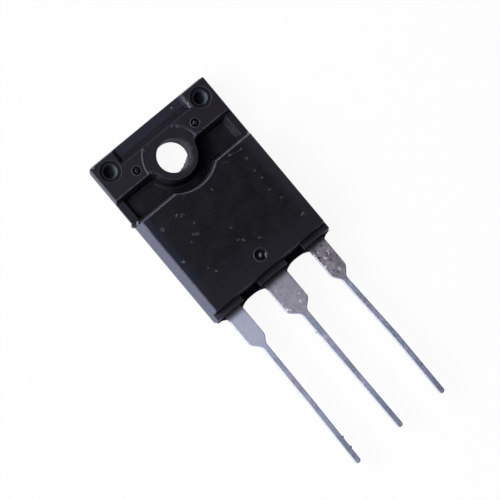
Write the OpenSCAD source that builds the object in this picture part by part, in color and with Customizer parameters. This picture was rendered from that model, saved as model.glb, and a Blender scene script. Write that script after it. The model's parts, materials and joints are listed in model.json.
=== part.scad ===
// Power transistor in a fully moulded three-lead package, lying on its back.
// X runs across the width, Y towards the mounting tab, Z out of the front face.
// The origin is on the mounting hole's axis, in the plane of the back face.

/* [Moulding] */
// Width of the moulding on its parting line
body_w = 15.2; // [14.9:0.1:17]
// Thickness of the main block
body_t = 5.4; // [5:0.1:6.5]
// Height of the parting line above the back face
parting_z = 2.35; // [2.2:0.05:2.6]
// Distance from the hole's axis to the top edge, on the parting line
top_y = 4.4; // [4.2:0.05:5.2]
// Distance from the hole's axis to the lead exit face, on the parting line
exit_y = 15.9; // [15.5:0.05:17]
// Draft of the walls in front of the parting line, in degrees
front_draft = 8.5; // [3:0.5:9]
// Draft of the walls behind the parting line, in degrees
back_draft = 5; // [2:0.5:8]
// Radius of the upright corners
corner_r = 0.5; // [0.3:0.05:0.6]
// Radius of the front rims
rim_r = 0.17; // [0.12:0.01:0.28]
// Radius of the rims at the back face
back_rim_r = 0.2; // [0.12:0.01:0.28]

/* [Mounting tab] */
// Thickness of the tab
tab_t = 3.2; // [2.9:0.05:3.6]
// Diameter of the mounting hole
hole_d = 3.5; // [3.0:0.05:3.8]
// Diameter of the round land that carries the screw head, at its top
land_d = 4.94; // [4.6:0.02:5.2]
// Height of the tab's lower edge above the hole's axis
tab_low_y = 0.1; // [0:0.05:0.3]
// Radius of the fillets between the land and the tab's lower edge
root_r = 0.9; // [0.75:0.05:1.1]
// Slope of the land's wall and of the tab's lower wall, in degrees
land_draft = 18; // [8:1:22]
// Radius of the ring that the mould's sleeve leaves round the hole
sleeve_r = 3.12; // [3:0.02:3.3]
// Width of the sleeve's ring at its foot
sleeve_w = 0.3; // [0.2:0.02:0.4]
// Height of the sleeve's ring
sleeve_h = 0.06; // [0.03:0.01:0.1]

/* [Top recess] */
// Width of the recess between the two corner pads
recess_w = 9.3; // [8:0.1:9.4]
// Height of the recess's lower edge above the hole's axis
recess_y = 2.55; // [2.5:0.05:3]
// Depth of the recess
recess_depth = 0.55; // [0.2:0.05:0.6]
// Slope of the recess's walls, in degrees
recess_draft = 40; // [5:1:45]

/* [Corner pin holes] */
// Distance between the two corner holes
pin_pitch = 11.9; // [11.6:0.05:12.2]
// Height of the corner holes above the mounting hole's axis
pin_y = 2.82; // [2.6:0.02:3]
// Diameter of the wide step of a corner hole
pin_step_d = 2.2; // [2:0.05:2.3]
// Depth of the wide step
pin_step_depth = 0.3; // [0.1:0.02:0.4]
// Diameter of the deep part of a corner hole
pin_d = 1.6; // [1.3:0.05:1.8]
// Depth of the deep part, from the tab's face
pin_depth = 1.5; // [0.8:0.05:1.55]
// Diameter of a corner hole at its bottom
pin_tip_d = 0.95; // [0.7:0.05:1.2]

/* [Groove and main block] */
// Height of the groove's floor above the back face
groove_z = 1.5; // [1.45:0.05:2.1]
// Width of the low cheeks that close the groove at both sides, at their top
cheek_w = 0.78; // [0.5:0.02:1]
// Slope of the cheeks' inner walls, in degrees
cheek_draft = 28; // [5:1:32]
// Distance from the hole's axis to the block's upper rim
rim_y = 3.15; // [3.1:0.05:3.6]
// Radius of the arch round the screw head, inside its rounded rim
arch_r = 4.1; // [4:0.05:4.7]
// Distance from the hole's axis to the block's lower rim
front_end_y = 14.84; // [14.6:0.02:15.1]

/* [Lead exits] */
// Height of the stand-offs over the leads, above the back face
standoff_z = 3.75; // [3.6:0.05:4.6]
// Width of the middle stand-off at its top
standoff_w = 3.58; // [3.2:0.02:4]
// Width of the notches between the stand-offs, at their top
notch_w = 2.2; // [1.8:0.05:2.4]

/* [Ejector marks] */
// Distance between the two small marks on the tab
tab_mark_pitch = 7.7; // [7.4:0.02:8.4]
// Height of the small marks above the mounting hole's axis
tab_mark_y = 1.18; // [0.9:0.01:1.3]
// Diameter of the small marks
tab_mark_d = 0.88; // [0.6:0.02:1]
// Distance from the hole's axis to the mark on the main block
block_mark_y = 13.3; // [12.8:0.02:13.8]
// Diameter of the mark on the main block
block_mark_d = 1.28; // [1:0.02:1.6]
// Depth of the marks
mark_depth = 0.2; // [0.05:0.01:0.25]
// Diameter of the disc in a mark's middle, as a share of the mark's
mark_disc = 0.35; // [0.25:0.05:0.5]
// Height of the lip round a mark
lip_h = 0.03; // [0.02:0.01:0.06]
// Width of the lip round a mark
lip_w = 0.14; // [0.1:0.02:0.2]

/* [Gate vestige] */
// Distance from the hole's axis to the gate's broken stub on the left side
gate_y = 2.85; // [2.6:0.05:3.2]
// Length of the stub along the side
gate_len = 0.5; // [0.3:0.05:0.7]
// Height of the stub's section
gate_t = 0.4; // [0.2:0.05:0.5]

/* [Leads] */
// Distance between neighbouring leads
lead_pitch = 5.45; // [5.4:0.01:5.5]
// Thickness of the lead frame at the leads
lead_t = 0.6; // [0.4:0.05:0.7]
// Width of a lead below its shoulder
lead_w = 0.58; // [0.5:0.02:1]
// Width of the middle lead just below its shoulder
mid_neck_w = 0.74; // [0.6:0.02:1]
// Width of the outer leads' shoulders
shoulder_w = 1.95; // [1.6:0.05:2.2]
// Width of the middle lead's shoulder
mid_shoulder_w = 2.75; // [2.4:0.05:3]
// Length of the shoulders outside the moulding
shoulder_len = 3.5; // [3:0.05:4.5]
// Length over which a shoulder narrows to the lead
taper_len = 1.3; // [0.6:0.05:1.6]
// Length of the leads outside the moulding
lead_len = 19.8; // [12:0.05:22]
// Length by which the emitter lead is longer than the others
emitter_extra = 0.15; // [0:0.05:0.5]
// Sideways offset of the base lead just below its shoulder
base_root_x = 0.19; // [-0.3:0.01:0.3]
// Sideways offset of the base lead halfway down
base_mid_x = 0.13; // [-0.3:0.01:0.3]
// Sideways offset of the base lead's tip
base_tip_x = -0.04; // [-0.3:0.01:0.3]
// Sideways offset of the collector lead just below its shoulder
collector_root_x = 0.05; // [-0.3:0.01:0.3]
// Sideways offset of the collector lead halfway down
collector_mid_x = 0.1; // [-0.3:0.01:0.3]
// Sideways offset of the collector lead's tip
collector_tip_x = 0.16; // [-0.3:0.01:0.3]
// Sideways offset of the emitter lead just below its shoulder
emitter_root_x = -0.05; // [-0.3:0.01:0.3]
// Sideways offset of the emitter lead halfway down
emitter_mid_x = 0.22; // [-0.3:0.01:0.3]
// Sideways offset of the emitter lead's tip
emitter_tip_x = 0.2; // [-0.3:0.01:0.3]

/* [Inside] */
// Thickness of the copper heat spreader
spreader_t = 0.8; // [0.5:0.05:0.85]
// Thickness of the insulating layer behind the spreader
back_layer = 0.5; // [0.4:0.05:0.55]
// Width of the spreader
spreader_w = 12.9; // [11:0.1:13.2]
// Diameter of the spreader's clearance round the mounting hole
spreader_hole_d = 6.2; // [5:0.1:6.6]
// Distance from the hole's axis to the spreader's lower edge
spreader_low_y = 11.8; // [11:0.1:12.2]
// Distance from the hole's axis to the spreader's top edge
spreader_top_y = 3.6; // [3.4:0.05:3.7]
// Side of the square silicon die
die_w = 5.2; // [4:0.1:6]
// Thickness of the die
die_t = 0.3; // [0.2:0.01:0.4]
// Thickness of the solder under the die
solder_t = 0.08; // [0.04:0.01:0.12]
// Width by which the solder shows round the die
solder_margin = 0.1; // [0.05:0.01:0.3]
// Distance from the hole's axis to the die's middle
die_y = 8.2; // [7.6:0.1:8.6]
// Diameter of the bond wires
wire_d = 0.3; // [0.2:0.01:0.4]
// Width of the inner landing pads of the outer leads
pad_w = 3.3; // [2.6:0.1:3.6]
// Length of the inner landing pads
pad_len = 1.8; // [1.4:0.1:2]
// Length of the outer leads' shoulders inside the moulding
root_len = 1.7; // [1.4:0.1:2]
// Diameter of the anchor holes that the moulding fills
anchor_d = 0.8; // [0.5:0.05:1]

/* [Hidden] */

$fn = 48;
EPS = 0.01;
CUT = 1;
CORNER_FN = 16;
POLE_RING = cos(180 / CORNER_FN);
TAPER_STEPS = 8;
RIM_STEPS = 4;
LOOP_RATIO = 0.62;
FOOT_L = 0.6;
FOOT_T = 0.12;
front_slope = tan(front_draft);
back_slope = tan(back_draft);
land_slope = tan(land_draft);
half_w = body_w / 2;
lead_z = parting_z;
lead_top_z = lead_z + lead_t;
spreader_top_z = back_layer + spreader_t;
die_z = spreader_top_z + solder_t;
die_top_z = die_z + die_t;
pad_y = exit_y - root_len;
riser_foot_y = spreader_low_y - 2 * lead_t;
riser_top_y = spreader_low_y + 2 * lead_t;
// Where the wires leave the die and where they land, as [x, y] pairs
base_wire_from = [-die_w * 0.3, -die_y - die_w * 0.3];
base_wire_to = [-lead_pitch + pad_w * 0.25, -pad_y + pad_len * 0.55];
emitter_a_from = [die_w * 0.15, -die_y - die_w * 0.3];
emitter_a_to = [lead_pitch - pad_w * 0.32, -pad_y + pad_len * 0.5];
emitter_b_from = [die_w * 0.32, -die_y - die_w * 0.1];
emitter_b_to = [lead_pitch + pad_w * 0.05, -pad_y + pad_len * 0.6];

// A block with sloping walls and rounded rims, from corner to corner on the level wide_z,
// narrowing by inset on its way to the level narrow_z
module drafted_block(x0, x1, y0, y1, wide_z, narrow_z, inset, rim) {
    up = narrow_z > wide_z ? 1 : -1;
    hull() {
        for (x = [x0 + corner_r, x1 - corner_r], y = [y0 + corner_r, y1 - corner_r])
            translate([x, y, wide_z - (up > 0 ? 0 : EPS)])
                cylinder(h = EPS, r = corner_r, $fn = CORNER_FN);
        for (x = [x0 + inset + rim, x1 - inset - rim], y = [y0 + inset + rim, y1 - inset - rim])
            translate([x, y, narrow_z - up * rim * POLE_RING])
                sphere(r = rim, $fn = CORNER_FN);
    }
}

// The back half of the moulding, which runs under the tab, the groove and the block
module back_half() {
    drafted_block(-half_w, half_w, -exit_y, top_y, parting_z, 0, parting_z * back_slope, back_rim_r);
}

// The thick strip of the tab, in front of the parting line, with a crisp lower edge
module tab_strip() {
    inset = (tab_t - parting_z) * front_slope;
    difference() {
        drafted_block(-half_w, half_w, tab_low_y - inset - 2 * corner_r, top_y,
                      parting_z, tab_t, inset, rim_r / 2);
        below_tab();
    }
}

// The main block, in front of the parting line
module main_block() {
    inset = (body_t - parting_z) * front_slope;
    drafted_block(-half_w, half_w, -front_end_y - inset, -rim_y + inset,
                  parting_z, body_t, inset, rim_r);
}

// One stand-off over a lead, given by its edges at the top
module standoff(left, right) {
    inset = (standoff_z - parting_z) * front_slope;
    drafted_block(left - inset, right + inset, -exit_y, -front_end_y + 2 * corner_r,
                  parting_z, standoff_z, inset, rim_r / 2);
}

// The three stand-offs, with the notches between them
module standoffs() {
    side = half_w - (standoff_z - parting_z) * front_slope;
    inner = standoff_w / 2 + notch_w;
    standoff(-standoff_w / 2, standoff_w / 2);
    for (s = [-1, 1])
        standoff(s < 0 ? -side : inner, s < 0 ? -inner : side);
}

// Everything on the main block's side of the tab's lower wall, cut off along that wall's slope
module below_tab() {
    foot = tab_low_y - (tab_t - groove_z) * land_slope;
    over = tab_low_y + CUT * land_slope;
    rotate([90, 0, 90])
        translate([0, 0, -half_w - CUT])
            linear_extrude(height = body_w + 2 * CUT)
                polygon([[foot, groove_z], [over, tab_t + CUT], [0, tab_t + CUT],
                         [0, body_t + CUT], [-arch_r - CUT, body_t + CUT],
                         [-arch_r - CUT, groove_z]]);
}

// The straight part of the groove, down to its floor and between its cheeks
module groove_pocket() {
    strip_foot = tab_low_y - (tab_t - groove_z) * land_slope;
    strip_line = tab_low_y - (tab_t - parting_z - EPS) * land_slope;
    block_foot = -rim_y + (body_t - groove_z) * front_slope;
    block_line = -rim_y + (body_t - parting_z - EPS) * front_slope;
    mouth_x = half_w - cheek_w;
    floor_x = mouth_x - (parting_z + EPS - groove_z) * tan(cheek_draft);
    intersection() {
        rotate([90, 0, 90])
            translate([0, 0, -half_w])
                linear_extrude(height = body_w)
                    polygon([[strip_foot, groove_z], [strip_line, parting_z + EPS],
                             [block_line, parting_z + EPS], [block_foot, groove_z]]);
        rotate([90, 0, 0])
            translate([0, 0, -half_w])
                linear_extrude(height = body_w)
                    polygon([[-floor_x, groove_z], [floor_x, groove_z],
                             [mouth_x, parting_z + EPS], [-mouth_x, parting_z + EPS]]);
    }
}

// The arch that leaves room for the screw head: a cone cut into the main block, with a rounded rim
module arch_cut() {
    wall_top = body_t - rim_r;
    rim_curve = [for (i = [0 : RIM_STEPS])
        let (turn = 90 * i / RIM_STEPS)
        [arch_r + rim_r * (1 - cos(turn)), wall_top + rim_r * sin(turn)]];
    intersection() {
        rotate_extrude($fn = 96)
            polygon(concat([[0, groove_z], [arch_r - (wall_top - groove_z) * front_slope, groove_z]],
                           rim_curve,
                           [[arch_r + rim_r, body_t + CUT], [0, body_t + CUT]]));
        below_tab();
    }
}

// The round land that carries the screw head, down to the groove's floor
module screw_land() {
    rise = tab_t - groove_z + EPS;
    translate([0, 0, groove_z - EPS])
        cylinder(h = rise, r1 = land_d / 2 + rise * land_slope, r2 = land_d / 2);
}

// The fillet between the land and the tab's lower edge, on one side
module root_fillet(side) {
    centre_y = tab_low_y - root_r;
    centre_x = sqrt(pow(land_d / 2 + root_r, 2) - pow(centre_y, 2));
    rise = tab_t - groove_z + EPS;
    difference() {
        translate([side > 0 ? 0 : -centre_x, centre_y, groove_z - EPS])
            cube([centre_x, root_r + EPS, rise]);
        translate([side * centre_x, centre_y, groove_z - 2 * EPS])
            cylinder(h = rise + 2 * EPS, r1 = root_r - rise * land_slope, r2 = root_r);
        translate([side > 0 ? -EPS : -land_d / 2, centre_y - EPS, groove_z - 2 * EPS])
            cube([land_d / 2 - root_r, root_r - tab_low_y, rise + 2 * EPS]);
    }
}

// A low ridge round a circle, standing on the level zero
module ridge(radius, width, height) {
    rotate_extrude($fn = 96)
        polygon([[radius - width / 2, -EPS], [radius + width / 2, -EPS],
                 [radius + width / 8, height], [radius - width / 8, height]]);
}

// The ring that the mould's sleeve leaves, on the tab and, half as high, on the groove's floor
module sleeve_marks() {
    intersection() {
        translate([0, 0, tab_t])
            ridge(sleeve_r, sleeve_w, sleeve_h);
        translate([-half_w, tab_low_y, parting_z])
            cube([body_w, recess_y - tab_low_y - EPS, body_t]);
    }
    intersection() {
        translate([0, 0, groove_z])
            ridge(sleeve_r, sleeve_w, sleeve_h / 2);
        translate([-half_w, -arch_r, groove_z - CUT])
            cube([body_w, arch_r - root_r, body_t]);
    }
}

// The recess between the corner pads, open at the top edge
module top_recess() {
    floor_z = tab_t - recess_depth;
    slope = tan(recess_draft);
    intersection() {
        rotate([90, 0, 90])
            translate([0, 0, -half_w])
                linear_extrude(height = body_w)
                    polygon([[recess_y + recess_depth * slope, floor_z], [top_y + CUT, floor_z],
                             [top_y + CUT, tab_t + CUT], [recess_y - CUT * slope, tab_t + CUT]]);
        rotate([90, 0, 0])
            translate([0, 0, -top_y - CUT])
                linear_extrude(height = 2 * (top_y + CUT))
                    polygon([[-recess_w / 2 + recess_depth * slope, floor_z],
                             [recess_w / 2 - recess_depth * slope, floor_z],
                             [recess_w / 2 + CUT * slope, tab_t + CUT],
                             [-recess_w / 2 - CUT * slope, tab_t + CUT]]);
    }
}

// The two stepped blind holes that the mould's support pins leave
module corner_holes() {
    for (s = [-1, 1])
        translate([s * pin_pitch / 2, pin_y, 0]) {
            translate([0, 0, tab_t - pin_step_depth])
                cylinder(h = CUT, d = pin_step_d);
            translate([0, 0, tab_t - pin_depth])
                cylinder(h = pin_depth, d1 = pin_tip_d, d2 = pin_d);
        }
}

// A round ejector mark on the level zero, sunk round a disc in its middle
module ejector_mark(mark_d) {
    translate([0, 0, -mark_depth])
        difference() {
            cylinder(h = mark_depth + CUT, d = mark_d);
            translate([0, 0, -EPS])
                cylinder(h = mark_depth * 0.8, d = mark_d * mark_disc);
        }
}

// The lip of moulding compound that stands round a mark
module mark_lip(mark_d) {
    ridge(mark_d / 2 + lip_w / 4, lip_w, lip_h);
}

// Places the marks' parts: the small ones on the tab, the large one on the block
module at_tab_marks() {
    for (s = [-1, 1])
        translate([s * tab_mark_pitch / 2, tab_mark_y, tab_t])
            children();
}

module at_block_mark() {
    translate([0, -block_mark_y, body_t])
        children();
}

module mounting_hole() {
    translate([0, 0, -CUT])
        cylinder(h = tab_t + 2 * CUT, d = hole_d);
}

// The stub that is left where the moulding was broken off its gate
module gate_stub() {
    translate([-half_w, -gate_y, parting_z - gate_t / 2])
        cylinder(h = gate_t, d = gate_len);
}

// Room for the pieces that the moulding encloses
module enclosed_pieces() {
    collector_frame();
    base_lead();
    emitter_lead();
    silicon_die();
    die_solder();
    base_bond_wire();
    emitter_bond_wire_a();
    emitter_bond_wire_b();
}

module molded_body() {
    color([0.13, 0.13, 0.15])
        difference() {
            union() {
                difference() {
                    union() {
                        back_half();
                        main_block();
                        standoffs();
                        gate_stub();
                    }
                    groove_pocket();
                    arch_cut();
                }
                tab_strip();
                screw_land();
                root_fillet(-1);
                root_fillet(1);
                sleeve_marks();
                at_tab_marks() mark_lip(tab_mark_d);
                at_block_mark() mark_lip(block_mark_d);
            }
            top_recess();
            corner_holes();
            at_tab_marks() ejector_mark(tab_mark_d);
            at_block_mark() ejector_mark(block_mark_d);
            mounting_hole();
            enclosed_pieces();
        }
}

// Half the width of a lead at a share s of its taper, along a smooth curve
function taper_half(wide, neck, s) = neck / 2 + (wide - neck) / 4 * (1 + cos(180 * s));

// Points of one edge of a lead's outline outside the moulding, from the exit face to the tip.
// sway lists the lead's sideways offsets below its shoulder, halfway down and at its tip
function lead_edge(side, wide, neck, sway, long) =
    let (start = exit_y + shoulder_len, stop = start + taper_len, tip = exit_y + long)
    concat([[side * wide / 2, -exit_y]],
           [for (i = [0 : TAPER_STEPS])
               let (s = i / TAPER_STEPS)
               [sway[0] * s + side * taper_half(wide, neck, s), -start - taper_len * s]],
           [[sway[1] + side * lead_w / 2, -(stop + tip) / 2],
            [sway[2] + side * lead_w / 2, -tip + lead_w / 3],
            [sway[2] + side * lead_w / 4, -tip]]);

function reversed(list) = [for (i = [len(list) - 1 : -1 : 0]) list[i]];

// The part of a lead that shows outside the moulding
module outer_lead(wide, neck, sway, long) {
    translate([0, 0, lead_z])
        linear_extrude(height = lead_t)
            polygon(concat(lead_edge(1, wide, neck, sway, long),
                           reversed(lead_edge(-1, wide, neck, sway, long))));
}

// The root of an outer lead inside the moulding, with its landing pad and its anchor hole
module inner_lead() {
    translate([0, 0, lead_z])
        linear_extrude(height = lead_t)
            difference() {
                union() {
                    translate([-shoulder_w / 2, -exit_y])
                        square([shoulder_w, root_len + EPS]);
                    translate([-pad_w / 2, -pad_y])
                        square([pad_w, pad_len]);
                }
                translate([0, -exit_y + root_len / 2])
                    circle(d = anchor_d);
            }
}

module base_lead() {
    color([0.62, 0.62, 0.68])
        translate([-lead_pitch, 0, 0]) {
            outer_lead(shoulder_w, lead_w, [base_root_x, base_mid_x, base_tip_x], lead_len);
            inner_lead();
        }
}

module emitter_lead() {
    color([0.5, 0.49, 0.51])
        translate([lead_pitch, 0, 0]) {
            outer_lead(shoulder_w, lead_w, [emitter_root_x, emitter_mid_x, emitter_tip_x],
                       lead_len + emitter_extra);
            inner_lead();
        }
}

// The copper plate under the die, with its clearance round the mounting hole
module spreader() {
    translate([0, 0, back_layer])
        linear_extrude(height = spreader_t)
            difference() {
                translate([-spreader_w / 2, -spreader_low_y])
                    square([spreader_w, spreader_low_y + spreader_top_y]);
                circle(d = spreader_hole_d);
            }
}

// The bent neck that joins the plate to the middle lead
module riser() {
    rotate([90, 0, 90])
        translate([0, 0, -mid_shoulder_w / 2])
            linear_extrude(height = mid_shoulder_w)
                polygon([[-riser_foot_y, spreader_top_z - lead_t], [-riser_foot_y, spreader_top_z],
                         [-spreader_low_y, spreader_top_z], [-riser_top_y, lead_top_z],
                         [-exit_y, lead_top_z], [-exit_y, lead_z],
                         [-riser_top_y, lead_z], [-spreader_low_y, spreader_top_z - lead_t]]);
}

module collector_frame() {
    color([0.6, 0.59, 0.62]) {
        spreader();
        riser();
        outer_lead(mid_shoulder_w, mid_neck_w, [collector_root_x, collector_mid_x, collector_tip_x],
                   lead_len);
    }
}

module die_solder() {
    side = die_w + 2 * solder_margin;
    color([0.7, 0.7, 0.72])
        translate([-side / 2, -die_y - side / 2, spreader_top_z])
            cube([side, side, solder_t]);
}

module silicon_die() {
    color([0.35, 0.36, 0.4])
        translate([-die_w / 2, -die_y - die_w / 2, die_z])
            cube([die_w, die_w, die_t]);
}

// A bond wire in one circular loop from the die's face at p to a landing pad at q
module bond_wire(p, q) {
    span = norm(q - p);
    drop = lead_top_z - die_top_z;
    chord = norm([span, drop]);
    loop_r = LOOP_RATIO * chord;
    lift = sqrt(pow(loop_r, 2) - pow(chord / 2, 2));
    tilt = atan2(drop, span);
    centre = [span / 2 + lift * sin(tilt), drop / 2 - lift * cos(tilt)];
    half_angle = asin(chord / 2 / loop_r) + asin(wire_d / 2 / loop_r);
    translate([p[0], p[1], die_top_z])
        rotate([0, 0, atan2(q[1] - p[1], q[0] - p[0])])
            union() {
                difference() {
                    translate([centre[0], 0, centre[1]])
                        rotate([90, 0, 0])
                            rotate([0, 0, 90 + tilt - half_angle])
                                rotate_extrude(angle = 2 * half_angle)
                                    translate([loop_r, 0])
                                        circle(d = wire_d, $fn = 16);
                    translate([-span / 2, -wire_d, -chord])
                        cube([span, 2 * wire_d, chord]);
                    translate([span / 2, -wire_d, drop - chord])
                        cube([span, 2 * wire_d, chord]);
                }
                translate([-FOOT_L / 2, -wire_d * 0.6, 0])
                    cube([FOOT_L, wire_d * 1.2, FOOT_T]);
                translate([span - FOOT_L / 2, -wire_d * 0.6, drop])
                    cube([FOOT_L, wire_d * 1.2, FOOT_T]);
            }
}

module base_bond_wire() {
    color([0.85, 0.85, 0.86])
        bond_wire(base_wire_from, base_wire_to);
}

module emitter_bond_wire_a() {
    color([0.85, 0.85, 0.86])
        bond_wire(emitter_a_from, emitter_a_to);
}

module emitter_bond_wire_b() {
    color([0.85, 0.85, 0.86])
        bond_wire(emitter_b_from, emitter_b_to);
}

molded_body();
collector_frame();
base_lead();
emitter_lead();
silicon_die();
die_solder();
base_bond_wire();
emitter_bond_wire_a();
emitter_bond_wire_b();
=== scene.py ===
"""The looks of a power transistor in a moulded package: surfaces, small marks, light and camera.

Lengths in this file are millimetres in the part's own frame, and turn into metres where Blender
takes them.
"""

import json
import math
import random

import bmesh
import bpy
from mathutils import Matrix, Vector

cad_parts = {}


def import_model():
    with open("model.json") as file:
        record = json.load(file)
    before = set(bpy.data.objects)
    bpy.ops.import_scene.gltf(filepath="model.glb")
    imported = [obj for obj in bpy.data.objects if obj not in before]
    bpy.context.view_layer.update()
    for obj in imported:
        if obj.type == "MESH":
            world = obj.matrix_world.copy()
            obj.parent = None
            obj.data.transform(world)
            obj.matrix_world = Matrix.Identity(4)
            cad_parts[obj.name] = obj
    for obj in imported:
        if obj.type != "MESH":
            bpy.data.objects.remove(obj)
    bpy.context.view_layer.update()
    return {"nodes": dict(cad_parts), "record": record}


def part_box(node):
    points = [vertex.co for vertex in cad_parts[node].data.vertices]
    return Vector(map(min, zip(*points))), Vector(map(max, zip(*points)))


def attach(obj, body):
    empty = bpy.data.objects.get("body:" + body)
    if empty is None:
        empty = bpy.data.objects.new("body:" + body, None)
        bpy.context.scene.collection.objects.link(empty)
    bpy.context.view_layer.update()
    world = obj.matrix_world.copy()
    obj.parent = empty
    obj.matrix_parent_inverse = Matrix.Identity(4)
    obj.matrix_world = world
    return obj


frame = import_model()

MM = 0.001


def to_mm(corners):
    """Corners of a box in millimetres."""
    return [[value / MM for value in corner] for corner in corners]


# Places on the part, worked out from the frame
body_low, body_high = to_mm(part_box("molded_body"))
lead_low, lead_high = to_mm(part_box("base_lead"))
mounts = {m["name"]: m for m in frame["record"]["mounts"]}
MARK_LIP = 0.03
GATE_LEFT = body_low[0]
RIGHT = body_high[0]
LEFT = -RIGHT
TOP = body_high[1]
EXIT = body_low[1]
BACK = body_low[2]
FRONT = body_high[2] - MARK_LIP
PARTING = lead_low[2]
LEAD_TOP = lead_high[2]
TAB = mounts["screw_seat"]["pos_m"][2] / MM
BORE = mounts["mounting_hole"]["dims"]["r_mm"]
GATE = GATE_LEFT + 0.19

# Other sizes of the moulding and the leads, as the CAD has them
LEAD_PITCH = 5.45
SHOULDER_W = 1.95
MID_SHOULDER_W = 2.75
GATE_Y = -2.85
LAND_R = 2.47
ARCH_R = 4.1
ARCH_TOP_Y = -2.2
GROOVE_RIM_Y = 0.15
GROOVE_FLOOR = TAB - 1.7
RECESS_RIM_Y = 2.35
RECESS_FLOOR = TAB - 0.55
STAND_OFF = TAB + 0.55
BLOCK_RIM_Y = -4.4
PIN_STEP_R = 1.07
PIN_STEP = TAB - 0.3

# Round marks and pin holes, as (x, y, radius)
MARKS = [(-3.85, 1.18, 0.38), (3.85, 1.18, 0.38), (0.0, -13.3, 0.5)]
PIN_HOLES = [(-5.95, 2.82, 0.84), (5.95, 2.82, 0.84)]

# Places where the low ridge round the hole and a mark's lip are pale, partly rubbed and partly
# painted highlight, as (x, y, radius)
RIDGE_WEAR_HIGHLIGHTS = [(-2.05, 2.36, 0.3), (-2.65, 1.58, 0.14), (-3.05, 0.3, 0.24), (1.8, 2.4, 0.2),
          (2.2, 2.05, 0.26), (3.1, 0.35, 0.22), (4.24, 0.96, 0.16)]

# Specks of dust on the front face and on the tab, as (x, y, size)
FRONT_SPECKS = [
    (-6.01, -5.1, 0.13), (-3.99, -4.91, 0.1), (-3.59, -5.21, 0.12), (-3.09, -6.61, 0.08),
    (-3.9, -7.4, 0.09), (-3.6, -7.6, 0.11), (-4.51, -7.9, 0.08), (-6.43, -8.89, 0.12),
    (-0.58, -9.31, 0.08), (-0.79, -10.71, 0.08), (-0.39, -11.01, 0.11), (1.02, -11.92, 0.09),
    (-4.93, -10.9, 0.08), (-4.53, -11.7, 0.09), (5.12, -5.02, 0.1), (5.01, -6.42, 0.09),
    (5.1, -7.43, 0.08), (4.89, -8.83, 0.08), (5.29, -10.24, 0.09), (5.99, -12.85, 0.12),
    (0.45, -5.21, 0.08), (4.1, -3.62, 0.09), (5.33, -3.91, 0.08)]
TAB_SPECKS = [(1.95, -0.01, 0.1), (-3.08, 0.24, 0.12), (3.0, 0.35, 0.1), (2.85, 1.4, 0.07),
              (-1.22, 2.3, 0.07)]

# Scratches on the front face as (x, y, length, turn in degrees)
SCRATCHES = [(4.43, -3.73, 1.6, -15), (5.93, -12.83, 0.5, 50), (3.2, -3.9, 0.7, -20),
             (-2.2, -3.9, 0.6, 15)]

# Beads of tin and dark stains on the leads' shoulders, as (x, y, size), and burrs as (x, y)
TIN_BEADS = [(-0.86, -17.17, 0.12), (-1.21, -18.53, 0.13), (-1.1, -19.2, 0.2),
             (-0.98, -19.45, 0.15), (0.84, -18.78, 0.12), (0.42, -19.46, 0.12),
             (-0.34, -22.9, 0.12), (5.2, -17.76, 0.16), (5.89, -17.5, 0.13),
             (5.63, -19.55, 0.14), (4.66, -18.5, 0.14), (5.02, -16.9, 0.12)]
TIN_STAINS = [(4.69, -16.66, 0.16), (4.68, -17.4, 0.14), (5.48, -18.3, 0.14), (5.7, -16.5, 0.1)]
LEAD_BURRS = [(-LEAD_PITCH + 0.33, -32.69), (-LEAD_PITCH + 0.33, -33.97)]

# Flash: how far the fins run sideways on the outer and the inner side of a lead, how far they
# reach along it, and the skin that the core pin left in the bore
FIN_RUN_OUT, FIN_RUN_IN = 1.05, 1.52
FIN_REACH = (0.3, 0.4)
FIN_BEND = 2.8
FIN_STEPS = (0.04, 0.15, 0.3, 0.45, 0.6, 0.72, 0.84, 0.93)
SKIN_WIDTH = 0.34
SKIN_ANGLES = (-112, -24)
SKIN_HEIGHTS = (0.2, 0.32)

# Camera, as fitted to the photograph's edges, with angles in degrees
IMAGE_PX = 500
SENSOR_WIDTH = 36
CAMERA_DISTANCE = 300
CAMERA_PX_PER_MM = 9.8143
CAMERA_LEAN = 8.298
CAMERA_TURN = 39.919
CAMERA_SIDE = (-8.056, 9.227)
CLIP_START = 10

# Light: the window side is where the key light stands and where the room is bright
WINDOW_AZIMUTH = Vector((-0.87, 0.49, 0.0)).normalized()
KEY_ELEVATION = 50
KEY_DISTANCE = 250
KEY_SIZE = 140
KEY_WATTS = 0.5
ROOM_ELEVATION = 20
ROOM_STRENGTHS = (0.05, 1.3)
ROOM_COLOURS = ((1.0, 0.95, 1.0, 1.0), (0.9, 0.92, 1.0, 1.0))
KEY_COLOUR = (0.96, 0.97, 1.0)
WHITE = (1.0, 1.0, 1.0, 1.0)

# Directions across the part: towards the window as the pin holes' painted highlight shows it, and
# away from it as the worn ring round the bore with its painted highlight does
PIN_WINDOW = (-0.72, 0.69, 0)
BORE_HIGHLIGHT_SIDE = (0.82, -0.57, 0)

# Floor: how far below the part and how wide it lies, and how much of it is plain white light to
# the camera and to reflections
FLOOR_GAP = 0.02
FLOOR_SIZE = 4000
FLOOR_SEEN = 0.93
FLOOR_MIRRORED = 0.76
FLOOR_COLOUR = (0.88, 0.9, 0.95, 1.0)
FLOOR_DAYLIGHT = (0.75, 0.79, 1.0, 1.0)

# Finish of the moulding compound: its roughness where pitted and where not, how much of that the
# upright walls keep, the gloss left in shaded places, how strong their shade is, and its sheen
SATIN = (0.42, 0.52)
WALL_POLISH = 0.63
SHADED_GLOSS = 0.03
SHADE = 0.78
SHEEN_TINT = (0.46, 0.45, 0.54, 1.0)

# Angle in degrees from which an edge of a CAD node is shaded sharp, and the samples of the nodes
# that look round a point for edges and corners
SHARP_ANGLE = 28
NODE_SAMPLES = 8


def linear_part(value):
    """A linear number from 0 to 1 from an sRGB number of 0 to 255."""
    share = value / 255
    return share / 12.92 if share <= 0.04045 else ((share + 0.055) / 1.055) ** 2.4


def linear(red, green, blue):
    """A linear colour with alpha from sRGB numbers of 0 to 255."""
    return (linear_part(red), linear_part(green), linear_part(blue), 1.0)


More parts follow.
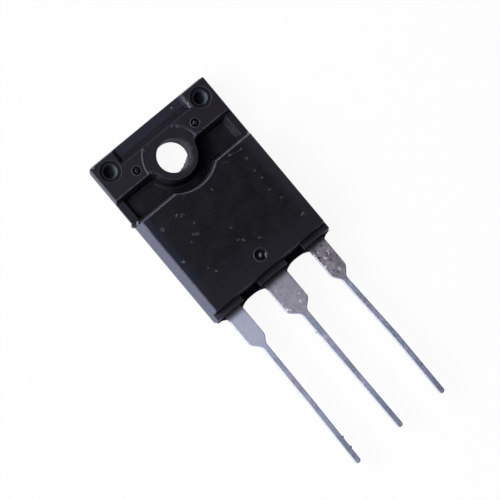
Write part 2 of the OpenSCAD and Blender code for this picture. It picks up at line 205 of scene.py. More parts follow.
# Colours of the moulding compound
TAB_GREY, TAB_GREY_WINDOW_LIT = linear(26, 24, 29), linear(26, 28, 32)
RECESS_BLUE, RECESS_FOOT_SHADE = linear(30, 33, 43), linear(5, 6, 12)
STAND_OFF_LIT_GREY = linear(54, 51, 59)
FRONT_BLACK, FRONT_BLACK_WINDOW_LIT = linear(5, 4, 7), linear(12, 14, 17)
FRONT_EDGE_RIGHT, FRONT_EDGE_WINDOW_LIT = linear(32, 31, 35), linear(22, 26, 41)
FRONT_FOOT = linear(24, 23, 27)
LEFT_WALL_REFLECTION = linear(50, 52, 72)
CLOUD, GRAIN, SCUFF = linear(27, 25, 28), linear(46, 45, 50), linear(56, 56, 62)
BORE_WEAR_HIGHLIGHT, GATE_SCAR = linear(80, 81, 80), linear(108, 109, 121)
SHADE_BLACK, CORNER_SHADE_BLACK = linear(3, 3, 5), linear(4, 4, 7)
STEP_SHADE_BLACK, CONE_BLUE_REFLECTION, CONE_GLINT = linear(6, 7, 11), linear(52, 58, 76), linear(104, 110, 118)
RIM_WEAR_HIGHLIGHT, UPPER_RIM_HIGHLIGHT = linear(72, 72, 78), linear(94, 94, 100)

# Colours of the tin plating; each lead's three are pale, dark, and a painted shade for the root by
# the body, and the edge colours are a painted highlight and a painted shade
BASE_TIN = (linear(202, 205, 222), linear(188, 192, 210), linear(64, 60, 64))
COLLECTOR_TIN = (linear(186, 182, 194), linear(162, 158, 172), linear(36, 32, 36))
EMITTER_TIN = (linear(172, 166, 174), linear(126, 121, 132), linear(36, 32, 36))
LILAC_BAND, TEAL_BAND = linear(184, 180, 210), linear(156, 174, 194)
DULL_BAND, BRIGHT_BAND = linear(136, 130, 146), linear(222, 223, 236)
TIP_BLUE = linear(120, 120, 150)
TIN_SPOT, TIN_SHINE = linear(78, 74, 80), linear(232, 231, 238)
TIN_EDGE_LIT, TIN_EDGE_SHADE = linear(244, 245, 252), linear(96, 94, 112)


def clear_tree(owner):
    """The node tree of a material or a world, emptied."""
    owner.use_nodes = True
    owner.node_tree.nodes.clear()
    return owner.node_tree


def plug(tree, value, socket):
    """Links value to a socket where it is an output, and sets it where it is a constant."""
    if isinstance(value, bpy.types.NodeSocket):
        tree.links.new(value, socket)
    else:
        socket.default_value = value


def add(tree, kind, inputs=None, **settings):
    """A new node, with its settings and with its inputs linked or set."""
    node = tree.nodes.new("ShaderNode" + kind)
    for key, value in settings.items():
        setattr(node, key, value)
    for key, value in (inputs or {}).items():
        plug(tree, value, node.inputs[key])
    return node


def link_output(tree, shader, output="OutputMaterial"):
    """Links a shader to the output of a material or a world."""
    tree.links.new(shader.outputs[0], add(tree, output).inputs[0])


def calc(tree, operation, *values):
    """The output of a Math node."""
    return add(tree, "Math", dict(enumerate(values)), operation=operation).outputs[0]


def product(tree, *values):
    """All the values multiplied."""
    result = values[0]
    for value in values[1:]:
        result = calc(tree, "MULTIPLY", result, value)
    return result


def largest(tree, *values):
    """The largest of the values."""
    result = values[0]
    for value in values[1:]:
        result = calc(tree, "MAXIMUM", result, value)
    return result


def ramp(tree, value, low, high, to_low=0.0, to_high=1.0):
    """value from low to high, mapped smoothly to to_low to to_high."""
    inputs = {"Value": value, "From Min": low, "From Max": high, "To Min": to_low, "To Max": to_high}
    return add(tree, "MapRange", inputs, interpolation_type="SMOOTHSTEP").outputs["Result"]


def blend(tree, factor, first, second):
    """A colour between first and second."""
    node = add(tree, "Mix", {"Factor": factor}, data_type="RGBA")
    plug(tree, first, node.inputs[6])
    plug(tree, second, node.inputs[7])
    return node.outputs[2]


def vector(tree, operation, first, second):
    """The output of a Vector Math node."""
    return add(tree, "VectorMath", {0: first, 1: second}, operation=operation).outputs[0]


def dot(tree, first, second):
    """How far one vector goes in the direction of the other."""
    inputs = {0: first, 1: second}
    return add(tree, "VectorMath", inputs, operation="DOT_PRODUCT").outputs["Value"]


def parts_of(tree, value):
    """The X, Y and Z outputs of a vector."""
    return add(tree, "SeparateXYZ", {0: value}).outputs


def millimetres(tree, stretch=(1, 1, 1), turn=0):
    """The place on the part in millimetres, turned about Z and stretched."""
    place = add(tree, "TexCoord").outputs["Object"]
    turned = add(tree, "Mapping", {"Vector": place, "Rotation": (0, 0, math.radians(turn))})
    return vector(tree, "MULTIPLY", turned.outputs[0], tuple(s / MM for s in stretch))


def from_axis(tree, place):
    """The distance from the mounting hole's axis."""
    flat = vector(tree, "MULTIPLY", place, (1, 1, 0))
    return add(tree, "VectorMath", {0: flat}, operation="LENGTH").outputs["Value"]


class Spot:
    """A point of the surface, as a material sees it: its place, its lean and how far the bore is."""

    def __init__(self, tree):
        self.place = millimetres(tree)
        self.x, self.y, self.z = parts_of(tree, self.place)
        self.lean = add(tree, "TexCoord").outputs["Normal"]
        self.lean_x, self.lean_y, self.lean_z = parts_of(tree, self.lean)
        self.radius = from_axis(tree, self.place)


def noise(tree, place, per_mm, detail=3, rough=0.5):
    """A soft noise from 0 to 1, with about per_mm spots to a millimetre."""
    inputs = {"Vector": place, "Scale": per_mm, "Detail": detail, "Roughness": rough}
    return add(tree, "TexNoise", inputs).outputs[0]


def rounded_normal(tree, radius):
    """The normal with its edges rounded."""
    return add(tree, "Bevel", {"Radius": radius * MM}, samples=NODE_SAMPLES).outputs[0]


def open_air(tree, distance):
    """1 in the open and 0 deep in a corner, as far as distance matters."""
    inputs = {"Distance": distance * MM}
    return add(tree, "AmbientOcclusion", inputs, samples=NODE_SAMPLES).outputs["AO"]


def edge_mask(tree, radius, low, high):
    """1 on edges and 0 on flat faces, from how far a rounded normal leans from the true one."""
    true = add(tree, "NewGeometry").outputs["Normal"]
    same = dot(tree, rounded_normal(tree, radius), true)
    return ramp(tree, calc(tree, "SUBTRACT", 1.0, same), low, high)


def disc(tree, place, x, y, radius, soft=0.03):
    """1 near an upright line through x and y, within radius."""
    shifted = vector(tree, "SUBTRACT", place, (x, y, 0))
    return ramp(tree, from_axis(tree, shifted), radius + soft, radius - soft)


def tab_tone(tree, at, left):
    """The tab's colour: a little bluer towards the window side as painted window light, bluish in
    the recess, painted shade along the recess's foot, and lighter on the stand-offs as painted
    light.
    """
    recess = product(tree, ramp(tree, at.y, RECESS_RIM_Y + 0.25, RECESS_RIM_Y + 0.55),
                     ramp(tree, at.z, RECESS_FLOOR + 0.35, RECESS_FLOOR + 0.15))
    foot = product(tree, recess, ramp(tree, at.y, RECESS_RIM_Y + 1.1, RECESS_RIM_Y + 0.8))
    stand_off = product(tree, ramp(tree, at.z, STAND_OFF - 0.25, STAND_OFF - 0.05),
                        ramp(tree, at.y, EXIT + 1.1, EXIT + 1.0))
    # Painted window light: a little bluer towards the window side
    tone = blend(tree, left, TAB_GREY, TAB_GREY_WINDOW_LIT)
    tone = blend(tree, recess, tone, RECESS_BLUE)
    # Painted shade along the recess's foot, and painted light on the stand-offs' tops
    tone = blend(tree, foot, tone, RECESS_FOOT_SHADE)
    return blend(tree, stand_off, tone, STAND_OFF_LIT_GREY)


def front_tone(tree, at, left):
    """The front face's colour: black, lighter and bluer on its window side and along its left edge
    as painted window light, and a little lighter along its right edge and near the leads.
    """
    # Painted window light: lighter and bluer towards the window side, bluer still along the left
    # edge
    tone = blend(tree, left, FRONT_BLACK, FRONT_BLACK_WINDOW_LIT)
    tone = blend(tree, ramp(tree, at.x, RIGHT - 2.3, RIGHT - 0.7), tone, FRONT_EDGE_RIGHT)
    tone = blend(tree, ramp(tree, at.x, LEFT + 1.6, LEFT + 0.9), tone, FRONT_EDGE_WINDOW_LIT)
    return blend(tree, ramp(tree, at.y, EXIT + 5.4, EXIT + 1.3), tone, FRONT_FOOT)


def large_tones(tree, at):
    """The compound's colour over large areas: tab, front face, lower half, and the left wall, pale
    as a painted reflection of the window side.
    """
    left = ramp(tree, at.x, LEFT + 5.1, LEFT + 0.6)
    front = largest(tree, ramp(tree, at.z, FRONT - 0.08, FRONT - 0.03),
                    ramp(tree, at.z, PARTING - 0.1, PARTING - 0.3))
    # The left wall that faces the window is pale: a painted reflection
    left_wall = product(tree, ramp(tree, at.lean_x, -0.8, -0.95),
                        ramp(tree, at.y, GATE_Y + 0.15, GATE_Y - 0.25),
                        ramp(tree, at.x, LEFT + 1.6, LEFT + 0.8))
    colour = blend(tree, front, tab_tone(tree, at, left), front_tone(tree, at, left))
    return blend(tree, left_wall, colour, LEFT_WALL_REFLECTION)


def bore_wear_and_highlight(tree, at):
    """The patchy pale ring round the bore, on the side away from the window: wear, with a painted
    highlight where its rim faces the window.
    """
    ring = ramp(tree, at.radius, BORE + 0.5, BORE + 0.1)
    away = ramp(tree, dot(tree, at.place, BORE_HIGHLIGHT_SIDE), 0.5, 1.6)
    patches = ramp(tree, noise(tree, at.place, 7, 3, 0.7), 0.42, 0.62)
    return product(tree, ring, away, patches, 0.7)


def compound_colour(tree, at, grain, lift):
    """The compound's colour with its clouds, grain, scuffs, the worn bore rim with its painted
    highlight, and the torn gate.
    """
    clouds = noise(tree, at.place, 0.7, 5, 0.65)
    scuffs = noise(tree, millimetres(tree, (0.5, 3.5, 1), 38), 1.6, 3, 0.6)
    colour = blend(tree, ramp(tree, clouds, 0.4, 0.64, 0, 0.45), large_tones(tree, at), CLOUD)
    colour = blend(tree, ramp(tree, grain, 0.55, 0.8, lift, lift + 0.22), colour, GRAIN)
    colour = blend(tree, ramp(tree, scuffs, 0.66, 0.8, 0, 0.2), colour, SCUFF)
    colour = blend(tree, bore_wear_and_highlight(tree, at), colour, BORE_WEAR_HIGHLIGHT)
    return blend(tree, ramp(tree, at.x, GATE, GATE - 0.04), colour, GATE_SCAR)


def mark_mask(tree, at):
    """1 inside the round marks."""
    inside = largest(tree, *(disc(tree, at.place, *mark) for mark in MARKS))
    return product(tree, inside, ramp(tree, at.z, TAB - 0.45, TAB - 0.35))


def arch_mask(tree, at):
    """1 on the arch's wall, where painted shade darkens it, less on its left side."""
    return product(tree, ramp(tree, at.radius, ARCH_R - 0.5, ARCH_R - 0.2),
                   ramp(tree, at.radius, ARCH_R + 0.7, ARCH_R + 0.55),
                   ramp(tree, at.z, FRONT - 0.6, FRONT - 1.3), ramp(tree, at.lean_z, 0.6, 0.4),
                   ramp(tree, at.y, ARCH_TOP_Y, ARCH_TOP_Y - 0.3),
                   ramp(tree, at.x, -2.0, 1.5, 0.3, 1.0))


def groove_mask(tree, at):
    """1 low in the groove near the land, where painted shade darkens it, less on its left side."""
    return product(tree, ramp(tree, at.z, GROOVE_FLOOR + 0.4, GROOVE_FLOOR + 0.2),
                   ramp(tree, at.radius, ARCH_R + 1.1, ARCH_R - 0.2),
                   ramp(tree, at.radius, LAND_R - 0.1, LAND_R + 0.1),
                   ramp(tree, at.x, 0.0, 1.5, 0.1, 0.75))


def shade_mask(tree, at):
    """High where hardly any light comes: in the marks, over the leads, in the arch and groove."""
    end_wall = product(tree, ramp(tree, at.lean_y, -0.7, -0.9),
                       ramp(tree, at.z, STAND_OFF, STAND_OFF + 0.15))
    return product(tree, largest(tree, mark_mask(tree, at), end_wall, arch_mask(tree, at),
                                 groove_mask(tree, at)), SHADE)


def pin_hole_colour(tree, at, colour):
    """The pin holes over colour: painted shade on the step, a painted bluish reflection in the cone,
    and a painted highlight where the cone faces the window.
    """
    steps = largest(tree, *(disc(tree, at.place, x, y, PIN_STEP_R) for x, y, _ in PIN_HOLES))
    step = product(tree, steps, ramp(tree, at.z, PIN_STEP + 0.12, PIN_STEP + 0.02, 0, 0.85))
    holes = largest(tree, *(disc(tree, at.place, *hole) for hole in PIN_HOLES))
    cone = product(tree, holes, ramp(tree, at.z, PIN_STEP, PIN_STEP - 0.06),
                   ramp(tree, at.z, PIN_STEP - 1.8, PIN_STEP - 0.3))
    facing = ramp(tree, dot(tree, at.lean, PIN_WINDOW), -0.1, 1.0)
    colour = blend(tree, step, colour, STEP_SHADE_BLACK)
    colour = blend(tree, product(tree, cone, 0.9), colour, CONE_BLUE_REFLECTION)
    return blend(tree, product(tree, cone, facing, 0.9), colour, CONE_GLINT)


def rim_mask(tree, at):
    """1 on the moulding's rounded rims and low ridges, from how far the surface leans, for their
    wear and painted highlight.

    In the top recess only the top of the wall that faces the window counts, and rims that face
    the leads count less, as those below the parting line do: there the highlight is painted by
    how the surface faces the light.
    """
    sloped = product(tree, ramp(tree, at.lean_z, 0.2, 0.4), ramp(tree, at.lean_z, 0.985, 0.9))
    outside = calc(tree, "SUBTRACT", 1.0, ramp(tree, at.y, RECESS_RIM_Y, RECESS_RIM_Y + 0.15))
    window_wall = product(tree, ramp(tree, at.lean_x, -0.3, -0.5),
                          ramp(tree, at.z, RECESS_FLOOR + 0.13, RECESS_FLOOR + 0.35))
    side = largest(tree, ramp(tree, at.lean_y, -0.35, -0.1), 0.25)
    height = ramp(tree, at.z, PARTING, PARTING + 0.1, 0.35, 1.0)
    return product(tree, sloped, largest(tree, outside, window_wall), side, height)


def groove_rim_mask(tree, at, patchy):
    """Pale patches along the groove's rim on the tab, partly wear and partly painted highlight."""
    off_rim = calc(tree, "ABSOLUTE", calc(tree, "SUBTRACT", at.y, GROOVE_RIM_Y))
    return product(tree, ramp(tree, off_rim, 0.16, 0.04), ramp(tree, at.z, TAB - 0.1, TAB - 0.05),
                   ramp(tree, at.radius, 2.5, 3.0), ramp(tree, patchy, 0.5, 1.0, 0.1, 0.75))


def ridge_wear_highlight_mask(tree, at):
    """The pale places of the tab's low ridges and a mark's lip, partly rubbed and partly painted
    highlight, fading outwards.
    """
    spots = largest(tree, *(disc(tree, at.place, x, y, 0.65 * radius, 0.35 * radius)
                            for x, y, radius in RIDGE_WEAR_HIGHLIGHTS))
    return product(tree, spots, ramp(tree, at.z, TAB - 0.06, TAB + 0.01, 0.1, 0.75))


def lit_wall_top_mask(tree, at):
    """The upper part of the block's wall over the groove, which faces the window, more on its left
    side: painted light.
    """
    return product(tree, ramp(tree, at.lean_y, 0.3, 0.6),
                   ramp(tree, at.y, BLOCK_RIM_Y - 0.2, BLOCK_RIM_Y + 0.2),
                   ramp(tree, at.z, FRONT - 2.0, FRONT - 0.7),
                   ramp(tree, at.x, 3.0, -2.0, 0.25, 0.8))


def rims_worn_and_lit(tree, at, colour):
    """Pale rims over colour, partly wear and partly painted highlight: paler and wider along the
    block's upper rim, where the highlight is painted.
    """
    patchy = ramp(tree, noise(tree, at.place, 2.2, 4, 0.7), 0.3, 0.65, 0.4, 1.0)
    crisp = product(tree, edge_mask(tree, 0.14, 0.008, 0.1),
                    ramp(tree, open_air(tree, 0.5), 0.45, 0.8))
    rims = product(tree, largest(tree, crisp, rim_mask(tree, at)), patchy)
    upper = product(tree, ramp(tree, at.z, FRONT - 0.4, FRONT - 0.2),
                    ramp(tree, at.y, BLOCK_RIM_Y - 0.5, BLOCK_RIM_Y))
    wide = product(tree, edge_mask(tree, 0.26, 0.004, 0.07), upper,
                   ramp(tree, patchy, 0.4, 1.0, 0.5, 0.8))
    worn_and_lit = largest(tree, rims, groove_rim_mask(tree, at, patchy), ridge_wear_highlight_mask(tree, at), wide,
                   lit_wall_top_mask(tree, at))
    return blend(tree, worn_and_lit, colour, blend(tree, upper, RIM_WEAR_HIGHLIGHT, UPPER_RIM_HIGHLIGHT))


def moulding_finish(tree, at, shade, air):
    """The compound's gloss, dropped in the painted shade and in corners as painted shade on the
    sheen, and how much of its roughness it keeps.
    """
    in_bore = ramp(tree, at.radius, BORE + 0.04, BORE + 0.02)
    flat = calc(tree, "ABSOLUTE", at.lean_z)
    kept = largest(tree, ramp(tree, flat, 0.2, 0.5, WALL_POLISH, 1.0), in_bore)
    gloss = product(tree, ramp(tree, in_bore, 0, 1, 1.0, SHADED_GLOSS),
                    ramp(tree, at.lean_z, 0.3, 0.6, 1.0, 0.5),
                    ramp(tree, shade, 0, 1, 1.0, SHADED_GLOSS),
                    ramp(tree, air, 0.25, 0.7, 0.2, 1.0))
    return gloss, kept


def moulding_material(name="black_moulding", lift=0.0):
    """Black moulding compound: satin, fine eroded grain, rims pale with wear and painted highlight,
    painted shade in its corners and shaded places, and painted window light on its window side.
    """
    material = bpy.data.materials.new(name)
    tree = clear_tree(material)
    at = Spot(tree)
    grain = noise(tree, at.place, 14, 3, 0.6)
    shade = shade_mask(tree, at)
    air = open_air(tree, 1.4)
    colour = compound_colour(tree, at, grain, lift)
    # Painted shade in the marks, on the wall over the leads, in the arch and low in the groove
    colour = blend(tree, product(tree, shade, 0.85), colour, SHADE_BLACK)
    # Painted shade in corners and creases, from ambient occlusion
    colour = blend(tree, ramp(tree, air, 0.75, 0.3, 0, 0.9), colour, CORNER_SHADE_BLACK)
    colour = pin_hole_colour(tree, at, colour)
    colour = rims_worn_and_lit(tree, at, colour)

    pits = noise(tree, at.place, 4.5, 2, 0.5)
    bump = add(tree, "Bump", {
        "Strength": 0.3,
        "Distance": 0.02 * MM,
        "Height": calc(tree, "MULTIPLY_ADD", pits, 0.6, grain),
        "Normal": rounded_normal(tree, 0.06)})
    gloss, kept = moulding_finish(tree, at, shade, air)
    link_output(tree, add(tree, "BsdfPrincipled", {
        "Base Color": colour,
        "Roughness": product(tree, ramp(tree, pits, 0.3, 0.75, *SATIN), kept),
        "IOR": 1.5,
        "Specular IOR Level": gloss,
        "Specular Tint": SHEEN_TINT,
        "Normal": bump.outputs[0]}))
    return material


def tin_bands(tree):
    """The coloured bands of old plating that run slantwise over the thin part of a lead."""
    slant = millimetres(tree, (1.3, 1, 0.6), 25)
    tints = ramp(tree, noise(tree, slant, 0.42, 4, 0.65), 0.4, 0.6)
    dull = ramp(tree, noise(tree, slant, 0.5, 5, 0.75), 0.5, 0.66, 0, 0.75)
    bright = ramp(tree, noise(tree, slant, 0.8, 4, 0.75), 0.54, 0.68, 0, 0.75)
    bands = blend(tree, tints, LILAC_BAND, TEAL_BAND)
    return blend(tree, bright, blend(tree, dull, bands, DULL_BAND), BRIGHT_BAND)


def tin_colour(tree, along, tones, stains, spots, mottle):
    """The plating's colour down the lead; tones are its pale and dark colours and the painted shade
    at its root by the body.
    """
    pale, dark, root = tones
    shoulder = blend(tree, ramp(tree, stains, 0.35, 0.65), pale, dark)
    thin = product(tree, ramp(tree, along, EXIT - 3.8, EXIT - 6.0), 0.85)
    colour = blend(tree, thin, shoulder, tin_bands(tree))
    colour = blend(tree, ramp(tree, along, EXIT - 15.0, EXIT - 18.0, 0, 0.4), colour, TIP_BLUE)
    # Painted shade at the root, where the body shades the lead
    body_shade = product(tree, ramp(tree, along, EXIT - 0.9, EXIT - 0.1), 0.95)
    colour = blend(tree, body_shade, colour, root)
    colour = blend(tree, ramp(tree, spots, 0.54, 0.7, 0, mottle), colour, TIN_SPOT)
    return blend(tree, ramp(tree, spots, 0.42, 0.3, 0, mottle * 0.6), colour, TIN_SHINE)


def tin_material(name, tones, mottle):
    """Dull tin plating: painted shade at the root, pale on the shoulder, banded and stained down the
    lead, with painted highlight and shade on its edges.
    """
    material = bpy.data.materials.new(name)
    tree = clear_tree(material)
    place = millimetres(tree)
    along = parts_of(tree, place)["Y"]
    stains = noise(tree, place, 0.8, 5, 0.7)
    spots = noise(tree, place, 3.2 - 1.2 * mottle, 4, 0.75)
    soft = rounded_normal(tree, 0.14)
    aside = product(tree, parts_of(tree, soft)["X"], ramp(tree, along, EXIT - 0.5, EXIT - 0.8))
    colour = tin_colour(tree, along, tones, stains, spots, mottle)
    # Painted highlight on the edges towards the window, painted shade on those away from it
    colour = blend(tree, ramp(tree, aside, -0.12, -0.5, 0, 0.85), colour, TIN_EDGE_LIT)
    colour = blend(tree, ramp(tree, aside, 0.12, 0.5, 0, 0.5), colour, TIN_EDGE_SHADE)
    bump = add(tree, "Bump", {
        "Strength": 0.2 + 0.25 * mottle,
        "Distance": 0.03 * MM,
        "Height": calc(tree, "MULTIPLY_ADD", spots, 1.5, noise(tree, place, 16, 3, 0.6)),
        "Normal": soft})
    link_output(tree, add(tree, "BsdfPrincipled", {
        "Base Color": colour,
        "Metallic": 0.8,
        "Roughness": ramp(tree, stains, 0.3, 0.7, 0.48, 0.6),
        "Normal": bump.outputs[0]}))
    return material


def plain_material(name, colour, metallic, rough):
    """A finish with a fine grain, for the enclosed pieces and for small bits on the surface."""
    material = bpy.data.materials.new(name)
    tree = clear_tree(material)
    grain = noise(tree, millimetres(tree), 6, 3)
    darker = tuple(part * 0.8 for part in colour[:3]) + (1.0,)
    link_output(tree, add(tree, "BsdfPrincipled", {
        "Base Color": blend(tree, ramp(tree, grain, 0.3, 0.7), colour, darker),
        "Metallic": metallic,
        "Roughness": ramp(tree, grain, 0.3, 0.7, rough, rough + 0.1)}))
    return material


def dress(node, material):
    """Gives a CAD node its material and smooth shading between its sharp edges."""
    obj = frame["nodes"][node]
    for slot in obj.material_slots:
        slot.material = material
    obj.data.polygons.foreach_set("use_smooth", [True] * len(obj.data.polygons))
    obj.data.set_sharp_from_angle(angle=math.radians(SHARP_ANGLE))


def dress_nodes():
    """Materials of all the CAD nodes."""
    dress("molded_body", moulding_material())
    dress("base_lead", tin_material("base_tin", BASE_TIN, 0.12))
    dress("collector_frame", tin_material("collector_tin", COLLECTOR_TIN, 0.5))
    dress("emitter_lead", tin_material("emitter_tin", EMITTER_TIN, 1.0))
    dress("silicon_die", plain_material("silicon", linear(96, 98, 108), 0.6, 0.15))
    dress("die_solder", plain_material("soft_solder", linear(190, 190, 194), 1.0, 0.4))
    wire = plain_material("bond_wire", linear(225, 225, 228), 1.0, 0.25)
    for node in ("base_bond_wire", "emitter_bond_wire_a", "emitter_bond_wire_b"):
        dress(node, wire)


def piece_from(name, shape, material):
    """A small piece from a bmesh in millimetres, riding with the whole part."""
    mesh = bpy.data.meshes.new(name)
    shape.to_mesh(mesh)
    shape.free()
    mesh.transform(Matrix.Scale(MM, 4))
    mesh.materials.append(material)
    piece = bpy.data.objects.new(name, mesh)
    bpy.context.collection.objects.link(piece)
    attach(piece, "root")


def slab(outline, low, high):
    """A bmesh prism over an outline of (x, y) corners, between two heights."""
    shape = bmesh.new()
    rings = [[shape.verts.new((x, y, z)) for x, y in outline] for z in (low, high)]
    shape.faces.new(reversed(rings[0]))
    shape.faces.new(rings[1])
    count = len(outline)
    for i in range(count):
        j = (i + 1) % count
        shape.faces.new((rings[0][i], rings[0][j], rings[1][j], rings[1][i]))
    bmesh.ops.recalc_face_normals(shape, faces=shape.faces)
    return shape


def turned(degrees):
    """A rotation about Z."""
    return Matrix.Rotation(math.radians(degrees), 3, "Z")


def fleck(name, place, size, turn, material, seed):
    """An irregular flat crumb at place, with size as (length, width, height)."""
    dice = random.Random(seed)
    shape = bmesh.new()
    bmesh.ops.create_icosphere(shape, subdivisions=2, radius=0.5)
    for vert in shape.verts:
        rough = vert.co * dice.uniform(0.72, 1.28)
        vert.co = turned(turn) @ (rough * Vector(size)) + Vector(place)
    piece_from(name, shape, material)


def crumbs(name, place, spread, turn, grains, material, seed):
    """Grains strewn about place: spread is along and across a line, grains (count, size, height)."""
    dice = random.Random(seed)
    shape = bmesh.new()
    count, size, tall = grains
    for _ in range(count):
        off = Vector((dice.gauss(0, spread[0]), dice.gauss(0, spread[1]), 0))
        middle = Vector(place) + turned(turn) @ off
        width = size * dice.uniform(0.6, 1.3)
        grain = bmesh.ops.create_icosphere(shape, subdivisions=1, radius=0.5)
        for vert in grain["verts"]:
            rough = vert.co * dice.uniform(0.75, 1.25)
            vert.co = middle + rough * Vector((width, width, tall))
    piece_from(name, shape, material)


def dust():
    """Specks of dust and scratches on the block's front face and on the tab."""
    pale = plain_material("dust_pale", linear(70, 70, 76), 0.0, 0.8)
    yellow = plain_material("dust_yellow", linear(90, 87, 78), 0.0, 0.8)
    faint = plain_material("scratch_pale", linear(60, 60, 66), 0.0, 0.8)
    dice = random.Random(11)
    for index, (x, y, size) in enumerate(FRONT_SPECKS):
        material = yellow if index % 6 == 1 else pale
        crumbs(f"speck_{index}", (x, y, FRONT), (size, size * 0.75), dice.uniform(-60, -20),
               (14, size * 0.9, 0.02), material, index)
    for index, (x, y, size) in enumerate(TAB_SPECKS):
        crumbs(f"tab_speck_{index}", (x, y, TAB), (size * 1.1, size * 0.6),
               dice.uniform(-40, 40), (6, size * 0.9, 0.03), pale, 60 + index)
    for index, (x, y, length, turn) in enumerate(SCRATCHES):
        crumbs(f"scratch_{index}", (x, y, FRONT), (length * 0.3, 0.03), turn,
               (int(length * 14), 0.07, 0.02), faint, 90 + index)


def mark_glints():
    """Bright flecks in the round marks that paint their highlights: a slot and a crescent in the big
    one, spots in the others.
    """
    bright = plain_material("mark_glint", linear(114, 113, 121), 0.0, 0.6)
    x, y, _ = MARKS[2]
    fleck("mark_slot", (x - 0.07, y - 0.01, FRONT - 0.03), (0.42, 0.18, 0.1), 47, bright, 71)
    fleck("mark_crescent", (x + 0.41, y - 0.3, FRONT - 0.06), (0.58, 0.17, 0.1), 52, bright, 72)
    for index, (x, y, _) in enumerate(MARKS[:2]):
        crumbs(f"mark_spot_{index}", (x - 0.05, y + 0.06, TAB - 0.12), (0.09, 0.09), 0,
               (7, 0.13, 0.1), bright, 74 + index)


def plating_crumbs():
    """Beads of bright tin and dark stains on the shoulders of the leads."""
    bead = plain_material("tin_bead", linear(236, 236, 244), 0.7, 0.45)
    stain = plain_material("tin_stain", linear(74, 70, 78), 0.6, 0.55)
    for index, (x, y, size) in enumerate(TIN_BEADS):
        crumbs(f"tin_bead_{index}", (x, y, LEAD_TOP - 0.02), (size * 0.5, size * 0.8), 0,
               (9, size * 1.05, 0.07), bead, 120 + index)
    for index, (x, y, size) in enumerate(TIN_STAINS):
        crumbs(f"tin_stain_{index}", (x, y, LEAD_TOP), (size * 0.8, size * 0.9), 0,
               (9, size * 1.1, 0.03), stain, 150 + index)


def fin(middle, half, side, dice):
    """The outline of a fin of flash on one side, -1 or 1, of a lead's root."""
    foot = middle + side * half
    run = FIN_RUN_OUT if side * middle > 0 else FIN_RUN_IN
    reach = dice.uniform(*FIN_REACH)
    curve = [(foot + side * run * (1 - s),
              EXIT - reach * (s ** FIN_BEND + dice.uniform(-0.03, 0.03))) for s in FIN_STEPS]
    back = [(foot, EXIT + 0.05), (foot + side * run, EXIT + 0.05)]
    return back + curve + [(foot + side * 0.01, EXIT - reach)]


def exit_flash():
    """Dark fins of moulding compound that filled the frame's gaps beside the leads' roots."""
    material = moulding_material("flash_moulding", 0.1)
    dice = random.Random(4)
    for index, middle in enumerate((-LEAD_PITCH, 0.0, LEAD_PITCH)):
        half = (SHOULDER_W if middle else MID_SHOULDER_W) / 2
        for side, hand in ((-1, "left"), (1, "right")):
            shape = slab(fin(middle, half, side, dice), PARTING + 0.04, LEAD_TOP - 0.06)
            piece_from(f"exit_flash_{index}_{hand}", shape, material)


def on_circle(radius, angle):
    """A point of a circle about the mounting hole's axis."""
    return (radius * math.cos(angle), radius * math.sin(angle))


def bore_flash():
    """A thin skin of compound that the core pin left low in the mounting hole, coloured pale as a
    painted highlight.
    """
    material = plain_material("bore_skin_lit", linear(128, 128, 131), 0.0, 0.6)
    dice = random.Random(8)
    steps = 12
    start, stop = (math.radians(angle) for angle in SKIN_ANGLES)
    angles = [start + (stop - start) * i / steps for i in range(steps + 1)]
    rim = [on_circle(BORE, angle) for angle in angles]
    inner = []
    for i in range(1, steps):
        bow = SKIN_WIDTH * math.sin(math.pi * i / steps) ** 0.6 * dice.uniform(0.85, 1.1)
        inner.append(on_circle(BORE - bow, angles[i]))
    piece_from("bore_flash", slab(rim + inner[::-1], *SKIN_HEIGHTS), material)


def lead_burrs():
    """Two small burrs on the base lead's inner edge, near its tip."""
    metal = bpy.data.materials["base_tin"]
    for index, (x, y) in enumerate(LEAD_BURRS):
        fleck(f"lead_burr_{index}", (x, y, LEAD_TOP - 0.14), (0.28, 0.2, 0.26), 15, metal,
              41 + index)


def chips():
    """Pale scars at the tab's upper left corner and at the gate, a speck in the recess, and pale
    flecks beside it that paint the highlight on its end wall facing the window.
    """
    scar_and_glint = plain_material("scar_and_glint", linear(118, 120, 131), 0.0, 0.6)
    fleck("corner_chip", (LEFT + 0.5, TOP - 0.22, TAB - 0.03), (0.34, 0.16, 0.1), 20, scar_and_glint, 31)
    fleck("gate_burr", (LEFT + 0.32, GATE_Y - 0.12, FRONT - 1.35), (0.34, 0.3, 1.2), 0, scar_and_glint, 36)
    # Pale flecks on the recess's end wall that faces the window: a painted highlight
    fleck("recess_wall_glint", (4.55, 3.1, TAB - 0.05), (0.5, 0.16, 0.1), 70, scar_and_glint, 32)
    fleck("recess_corner_glint", (4.48, 2.74, TAB - 0.03), (0.3, 0.14, 0.09), 10, scar_and_glint, 33)
    crumbs("recess_edge_glint", (4.42, 3.35, TAB - 0.03), (0.32, 0.03), 86, (16, 0.12, 0.06), scar_and_glint, 35)
    fleck("recess_speck", (3.05, 3.85, RECESS_FLOOR + 0.01), (0.2, 0.15, 0.09), 0, scar_and_glint, 34)


def floor_material():
    """White to the camera and to reflections, and a pale diffuse surface under a faint shadow."""
    material = bpy.data.materials.new("floor_white")
    tree = clear_tree(material)
    path = add(tree, "LightPath").outputs
    mirrored = largest(tree, path["Is Glossy Ray"], path["Is Transmission Ray"])
    share = largest(tree, product(tree, path["Is Camera Ray"], FLOOR_SEEN),
                    product(tree, mirrored, FLOOR_MIRRORED))
    daylight = blend(tree, path["Is Camera Ray"], FLOOR_DAYLIGHT, WHITE)
    diffuse = add(tree, "BsdfDiffuse", {"Color": FLOOR_COLOUR})
    white = add(tree, "Emission", {"Color": daylight, "Strength": 1.0})
    link_output(tree, add(tree, "MixShader", {0: share, 1: diffuse.outputs[0], 2: white.outputs[0]}))
    return material


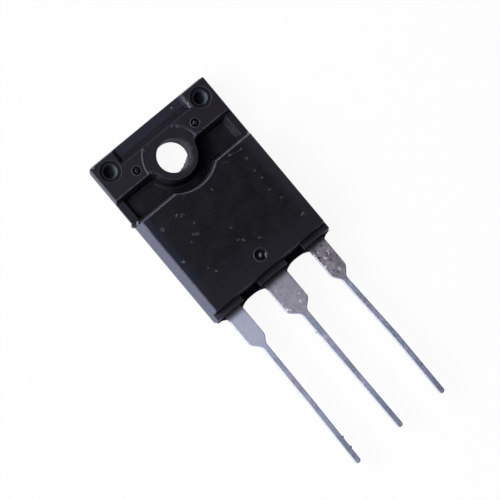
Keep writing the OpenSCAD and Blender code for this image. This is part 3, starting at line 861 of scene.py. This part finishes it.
def floor():
    """A plain white floor just under the part."""
    height = (BACK - FLOOR_GAP) * MM
    bpy.ops.mesh.primitive_plane_add(size=FLOOR_SIZE * MM, location=(0, 0, height))
    plane = bpy.context.object
    plane.name = "floor"
    plane.data.materials.append(floor_material())


def towards(elevation):
    """The direction to the window side at an elevation in degrees."""
    angle = math.radians(elevation)
    return WINDOW_AZIMUTH * math.cos(angle) + Vector((0, 0, math.sin(angle)))


def world():
    """A dim room that is bright low on the window side, and white where the camera sees it."""
    room = bpy.data.worlds.new("room")
    bpy.context.scene.world = room
    tree = clear_tree(room)
    direction = add(tree, "TexCoord").outputs["Generated"]
    side = dot(tree, direction, tuple(towards(ROOM_ELEVATION)))
    colour = blend(tree, ramp(tree, side, -0.2, 0.9), *ROOM_COLOURS)
    strength = ramp(tree, side, 0.1, 1.0, *ROOM_STRENGTHS)
    light = add(tree, "Background", {"Color": colour, "Strength": strength})
    white = add(tree, "Background", {"Color": WHITE, "Strength": 1.0})
    seen = add(tree, "LightPath").outputs["Is Camera Ray"]
    mixed = add(tree, "MixShader", {0: seen, 1: light.outputs[0], 2: white.outputs[0]})
    link_output(tree, mixed, "OutputWorld")


def key_light():
    """The soft window light from the tab's left."""
    data = bpy.data.lights.new("window", "AREA")
    data.shape = "DISK"
    data.size = KEY_SIZE * MM
    data.energy = KEY_WATTS
    data.color = KEY_COLOUR
    lamp = bpy.data.objects.new("window", data)
    middle = Vector((0, (EXIT + TOP) / 2, 0))
    lamp.location = (middle + towards(KEY_ELEVATION) * KEY_DISTANCE) * MM
    lamp.rotation_euler = towards(KEY_ELEVATION).to_track_quat("Z", "Y").to_euler()
    bpy.context.collection.objects.link(lamp)


def camera():
    """The camera at the photograph's viewing angle."""
    data = bpy.data.cameras.new("camera")
    data.sensor_width = SENSOR_WIDTH
    data.lens = CAMERA_PX_PER_MM * CAMERA_DISTANCE / IMAGE_PX * SENSOR_WIDTH
    data.clip_start = CLIP_START * MM
    lean = Matrix.Rotation(math.radians(CAMERA_LEAN), 3, "Y")
    back = (turned(CAMERA_TURN) @ lean).transposed()
    place = back @ Vector((-CAMERA_SIDE[0], -CAMERA_SIDE[1], CAMERA_DISTANCE)) * MM
    cam = bpy.data.objects.new("camera", data)
    cam.matrix_world = Matrix.Translation(place) @ back.to_4x4()
    bpy.context.collection.objects.link(cam)
    bpy.context.scene.camera = cam


dress_nodes()
exit_flash()
bore_flash()
lead_burrs()
chips()
mark_glints()
plating_crumbs()
dust()
floor()
world()
key_light()
camera()
bpy.context.scene.view_settings.view_transform = "Standard"
